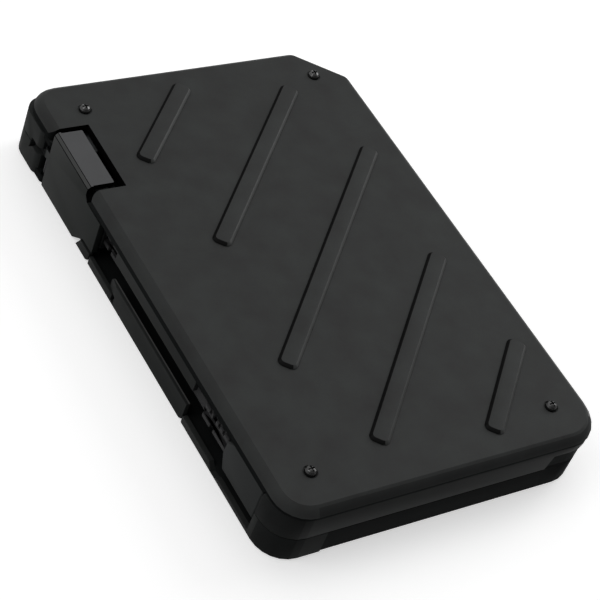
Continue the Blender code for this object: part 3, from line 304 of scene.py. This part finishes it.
# From the front end to the back
bandBack = frontEnd + 0.0012
rightCornerBack = frontEnd + 0.0088
pillarBack = frontEnd + 0.0096
cornerBack = frontEnd + 0.0103
frontReach = frontEnd + 0.0150
guardFront = frontEnd + 0.0405
guardBack = backEnd - 0.0510
notchFront = backEnd - 0.0368
hookFront = doorLow.y + 0.0069
shoulderBack = hookFront + 0.0016
hingeFront = backEnd - 0.0160
knuckleFront = doorHigh.y - 0.0027
hookBack = doorHigh.y - 0.0018
notchBack = doorHigh.y + hairline
blockFront = backEnd - 0.0122

# From the ground to the top
guardTop = 0.0055
seamFoot = shellHigh.z - 0.00065
panelTop = 0.0111
bandTop = 0.0115
wallTop = plateHeight - 0.0018  # here the wall of the cover turns into its roll
chamferFoot = plateHeight - 0.0009
# Foot of the painted highlight along the cover's right edge
highlightFoot = plateHeight - 0.0008
rollTop = plateHeight - 0.0004
chamferTop = plateHeight - hairline

# Faces of a moulded piece that get painted light or shade: the colour that is painted, the limits that
# their centres lie between, and the side that they look to. A later row paints over an earlier one
frontLeft = (-1.0, -0.3, 0.0)
outwards = (-0.70, 0.0, 0.70)
frontRoll = {"x": (cornerEnd, far), "y": (-far, frontReach), "z": (wallTop, rollTop)}
leftCorner = {"y": (-far, cornerBack)}
channelZone = {"x": (channelSide, channelWall), "y": (pillarBack, blockFront), "z": (hairline, coverLow.z)}
hingeZone = {"x": (-far, pinHigh.x), "y": (hingeFront, blockFront), "z": (hairline, coverLow.z)}
ribZone = {"z": (plateHeight, far)}
guardFace = {"y": (guardFront, guardBack), "z": (guardTop - hairline, guardTop + hairline)}
chamferFace = {"y": (hookFront, hookBack), "z": (chamferFoot, chamferTop)}
paintedLightSettings = {
    "top_cover": [
        # On the cover: painted shade on its skirt, front roll, notch walls and the near sides and ends of
        # the ribs, and painted highlights on the lit sides of the ribs and the right edge
        ("paintedSkirtShade", {"z": (-far, wallTop)}, None),
        ("paintedRollShade", frontRoll, (0.5, -0.85, 0.0)),
        ("paintedRibShade", ribZone, (-0.70, 0.70, 0.0)),
        ("paintedRibEndShade", ribZone, (-0.70, -0.70, 0.0)),
        ("paintedRibHighlight", ribZone, (0.70, -0.70, 0.0)),
        ("paintedEdgeHighlight", {"z": (highlightFoot, rollTop)}, (0.8, 0.5, 0.0)),
        ("paintedPitShadow", {"x": (channelSide, notchWall), "y": (notchFront, notchBack)}, None),
    ],
    "body_frame": [
        # On the frame: painted shade on the front left corner, the front right end, the right band, the
        # port channel and the hinge gap
        ("paintedCornerShade", {"x": (-far, turnStart), **leftCorner}, frontLeft),
        ("paintedTurnShade", {"x": (turnStart, cornerEnd), **leftCorner}, frontLeft),
        ("paintedSkirtShade", {"x": (panelEnd, far), "y": (-far, rightCornerBack), "z": (-far, panelTop)}, None),
        ("paintedBandShade", {"x": (rightBand, far), "z": (-far, bandTop)}, None),
        ("paintedRecessShade", channelZone, None),
        ("paintedRecessShade", hingeZone, None),
    ],
    "bottom_shell": [
        # On the shell: painted shade on the front left corner, the front and right bands, the port channel
        # and the hinge gap, a painted shadow line under the front panel, and a painted highlight on the
        # guard's top edge
        ("paintedCornerShade", {"x": (-far, turnStart), **leftCorner}, frontLeft),
        ("paintedTurnShade", {"x": (turnStart, bandStart), **leftCorner}, frontLeft),
        ("paintedBandShade", {"x": (bandStart, far), "y": (-far, rightCornerBack)}, None),
        ("paintedBandShade", {"x": (rightBand, far)}, None),
        ("paintedPitShadow", {"x": (bandStart, panelEnd), "y": (-far, rightCornerBack), "z": (seamFoot, far)},
         (0.0, -1.0, 0.0)),
        ("paintedRecessShade", channelZone, None),
        ("paintedRecessShade", hingeZone, None),
        ("paintedEdgeHighlight", {"x": (guardEdge, channelSide + hairline), **guardFace}, (0.0, 0.0, 1.0)),
    ],
    "port_door": [
        # On the door: painted shade on the knuckle, the front shoulder and the back end, painted shadow
        # lines beside the chamfer, and painted light on the top plate and its edge
        ("paintedRecessShade", {"y": (knuckleFront, far), "z": (-far, coverLow.z)}, None),
        ("paintedDoorTopLight", {"y": (hookFront, hookBack), "z": (chamferTop - hairline, far)}, None),
        ("paintedPitShadow", {"x": (-far, chamferInner + hairline), "y": (hookFront, hookBack),
                        "z": (chamferFoot, far)}, outwards),
        ("paintedDoorEdgeHighlight", {"x": (chamferOuter, chamferInner), **chamferFace}, outwards),
        ("paintedPitShadow", {"y": (-far, shoulderBack), "z": (coverLow.z, chamferTop)}, (0.0, -1.0, 0.0)),
        ("paintedPitShadow", {"y": (-far, hookBack)}, (0.0, 1.0, 0.0)),
    ],
}

# Flat faces cut in two, so that one strip of them can take a painted shadow line or a painted highlight:
# the axis and the place of the cut, and the limits that the centres of the cut faces lie between
bandFace = {"x": (bandStart, panelEnd), "y": (-far, bandBack), "z": (hairline, shellHigh.z)}
stripSettings = {
    "bottom_shell": [
        ("x", guardEdge, {"x": (-far, channelSide + hairline), **guardFace}),
        ("x", panelEnd, bandFace),
        ("z", seamFoot, bandFace),
    ],
    "port_door": [
        ("x", chamferOuter, chamferFace),
        ("x", chamferInner, chamferFace),
    ],
}


def liesInside(centre, limits):
    return all(low <= centre["xyz".index(axis)] <= high for axis, (low, high) in limits.items())


def splitFaces(mesh, rows):
    work = bmesh.new()
    work.from_mesh(mesh)
    for across, place, limits in rows:
        faces = [face for face in work.faces if liesInside(face.calc_center_median(), limits)]
        edges = {edge for face in faces for edge in face.edges}
        corners = {corner for face in faces for corner in face.verts}
        normal = Vector([float(axis == across) for axis in "xyz"])
        geom = [*corners, *edges, *faces]
        bmesh.ops.bisect_plane(work, geom=geom, plane_co=normal * place, plane_no=normal)
    work.to_mesh(mesh)
    work.free()


# How squarely a face looks to a row's side, as the cosine that it has to pass
leastFacing = 0.35


# Puts each row's painted shade or highlight on the faces that it covers
def paintLightAndShade(mesh, rows):
    for number, (label, limits, side) in enumerate(rows, 1):
        mesh.materials.append(finishes[label])
        for face in mesh.polygons:
            faces = side is None or face.normal.dot(Vector(side)) > leastFacing
            if faces and liesInside(face.center, limits):
                face.material_index = number


# Height of a flat face whose outline stays crisp, and how far a neighbour must lean to count
creaseSettings = {"top_cover": (plateHeight, 8), "port_door": (plateHeight, 8)}
levelSlack = 0.00002  # metres by which a corner may miss that height


def markCrease(mesh, height, lean):
    work = bmesh.new()
    work.from_mesh(mesh)
    limit = math.cos(math.radians(lean))
    for edge in work.edges:
        level = all(abs(corner.co.z - height) < levelSlack for corner in edge.verts)
        if level and len(edge.link_faces) == 2:
            ups = sorted(face.normal.z for face in edge.link_faces)
            if ups[0] < limit < ups[1]:
                edge.smooth = False
    work.to_mesh(mesh)
    work.free()


# Distance in metres below which corners join, and degrees below which faces join and above which
# an edge is rounded
roundSettings = {"weld": 0.000002, "flatAngle": 0.4, "sharpAngle": 25, "segments": 2}


def standFor(piece, name):
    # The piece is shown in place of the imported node, and moves with it
    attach(piece, bodyOf[name])
    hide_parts(name)


def softCopy(name, width, settings):
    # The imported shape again, welded into plain faces, with its moulded edges rounded
    source = nodes[name]
    mesh = source.data.copy()
    work = bmesh.new()
    work.from_mesh(mesh)
    bmesh.ops.remove_doubles(work, verts=work.verts, dist=settings["weld"])
    flat = math.radians(settings["flatAngle"])
    bmesh.ops.dissolve_limit(work, angle_limit=flat, verts=work.verts, edges=work.edges)
    work.to_mesh(mesh)
    work.free()
    piece = bpy.data.objects.new(name + "_soft", mesh)
    piece.matrix_world = source.matrix_world
    bpy.context.scene.collection.objects.link(piece)
    mesh.shade_smooth()
    # Strips are cut, then the painted shade and highlights go on
    splitFaces(mesh, stripSettings.get(name, ()))
    paintLightAndShade(mesh, paintedLightSettings.get(name, ()))
    if name in creaseSettings:
        markCrease(mesh, *creaseSettings[name])
    bevel = piece.modifiers.new("edge", "BEVEL")
    bevel.width = width
    bevel.segments = settings["segments"]
    bevel.limit_method = "ANGLE"
    bevel.angle_limit = math.radians(settings["sharpAngle"])
    bevel.use_clamp_overlap = True
    bevel.harden_normals = True
    standFor(piece, name)


# Width of the rounding on each moulded piece, in metres
edgeSettings = {
    "top_cover": 0.00012,
    "bottom_shell": 0.00014,
    "body_frame": 0.00014,
    "port_door": 0.00015,
    "stowed_plug_body": 0.00012,
    "port_plug_body": 0.00012,
    "stowed_plug_boot": 0.00012,
    "port_plug_boot": 0.00012,
}
for name, width in edgeSettings.items():
    softCopy(name, width, roundSettings)
print("edges rounded:", len(edgeSettings))

# Floor, light and background: sizes and places in metres
floorSettings = {
    "size": 4.0,
    "seen": (0.80, 0.80, 0.80),
    "bounced": (0.28, 0.28, 0.28),
    "glow": 0.50,
    "roughness": 0.9,
}
lightSettings = {
    "lamps": [
        # name, place, size, power in watts
        ("topLamp", (0.16, 0.34, 0.56), 0.80, 0.95),
        ("keyLamp", (0.60, 0.10, 0.36), 0.40, 1.45),
        ("fillLamp", (-0.70, 0.10, 0.80), 0.60, 2.0),
    ],
    # Strength of the sky in front of the case and behind it, and where it turns from one to the other
    "sky": (0.12, 0.50),
    "skyTurn": (-0.8, 0.4),
}


def blendColours(tree, factor, first, second):
    blend = addNode(tree, "ShaderNodeMix", data_type="RGBA")
    blend.inputs["A"].default_value = (*first, 1)
    blend.inputs["B"].default_value = (*second, 1)
    tree.links.new(factor, blend.inputs["Factor"])
    return blend.outputs["Result"]


def makeFloor(settings):
    mesh = bpy.data.meshes.new("floor")
    work = bmesh.new()
    bmesh.ops.create_grid(work, x_segments=2, y_segments=2, size=settings["size"])
    work.to_mesh(mesh)
    work.free()
    floor = bpy.data.objects.new("floor", mesh)
    bpy.context.scene.collection.objects.link(floor)
    material = bpy.data.materials.new("paleFloor")
    material.use_nodes = True
    tree = material.node_tree
    shader = tree.nodes["Principled BSDF"]
    # White to the camera and in reflections, and a mid grey where it only lights the object
    path = addNode(tree, "ShaderNodeLightPath")
    direct = mathNode(tree, "MAXIMUM", path.outputs["Is Camera Ray"], path.outputs["Is Glossy Ray"])
    seen = mathNode(tree, "MAXIMUM", direct, path.outputs["Is Transmission Ray"])
    colour = blendColours(tree, seen, settings["bounced"], settings["seen"])
    glow = blendColours(tree, seen, (0, 0, 0), (1, 1, 1))
    tree.links.new(colour, shader.inputs["Base Color"])
    tree.links.new(glow, shader.inputs["Emission Color"])
    shader.inputs["Emission Strength"].default_value = settings["glow"]
    shader.inputs["Roughness"].default_value = settings["roughness"]
    shader.inputs["Specular IOR Level"].default_value = 0.0
    mesh.materials.append(material)


def makeLamps(settings):
    for name, place, size, power in settings["lamps"]:
        data = bpy.data.lights.new(name, "AREA")
        data.size = size
        data.energy = power
        lamp = bpy.data.objects.new(name, data)
        lamp.location = place
        lamp.rotation_euler = (-Vector(place)).to_track_quat("-Z", "Y").to_euler()
        bpy.context.scene.collection.objects.link(lamp)


def makeSky(settings):
    world = bpy.data.worlds.new("studio")
    world.use_nodes = True
    tree = world.node_tree
    sky = tree.nodes["Background"]
    sky.inputs["Color"].default_value = (1, 1, 1, 1)
    way = addNode(tree, "ShaderNodeTexCoord")
    parts = addNode(tree, "ShaderNodeSeparateXYZ")
    reach = addNode(tree, "ShaderNodeMapRange")
    reach.inputs["From Min"].default_value = settings["skyTurn"][0]
    reach.inputs["From Max"].default_value = settings["skyTurn"][1]
    reach.inputs["To Min"].default_value = settings["sky"][0]
    reach.inputs["To Max"].default_value = settings["sky"][1]
    tree.links.new(way.outputs["Generated"], parts.inputs["Vector"])
    tree.links.new(parts.outputs["Y"], reach.inputs["Value"])
    tree.links.new(reach.outputs["Result"], sky.inputs["Strength"])
    bpy.context.scene.world = world


makeFloor(floorSettings)
makeLamps(lightSettings)
makeSky(lightSettings)
bpy.context.scene.view_settings.view_transform = "Standard"
print("stage lit")
